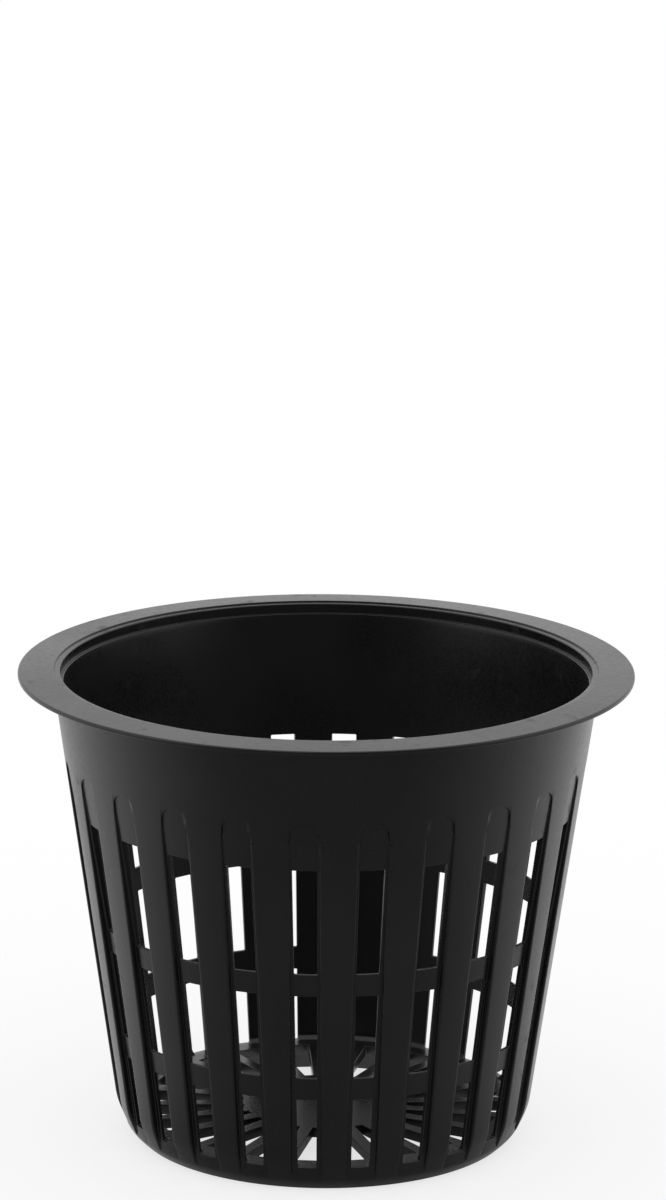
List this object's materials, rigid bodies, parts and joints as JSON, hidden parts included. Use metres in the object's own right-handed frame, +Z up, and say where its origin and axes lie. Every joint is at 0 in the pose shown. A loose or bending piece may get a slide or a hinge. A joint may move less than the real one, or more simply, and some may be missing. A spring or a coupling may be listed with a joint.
{
  "type": "hydroponic net pot",
  "caption": "Tapered moulded plant basket with a wide flat lip, slotted ribbed wall and spoked open floor, hung in a round tray hole to hold a plant and its growing medium.",
  "frame": {"origin": "centre of the foot plane that the pot stands on", "axes": "+Z up along the pot's axis, towards the mouth; one rib faces -Y"},
  "size_m": [0.09, 0.09, 0.0705],
  "materials": {
    "pot_plastic": "satin black moulded polypropylene"
  },
  "bodies": {
    "root": {"net_pot": "pot_plastic"}
  },
  "joints": []
}
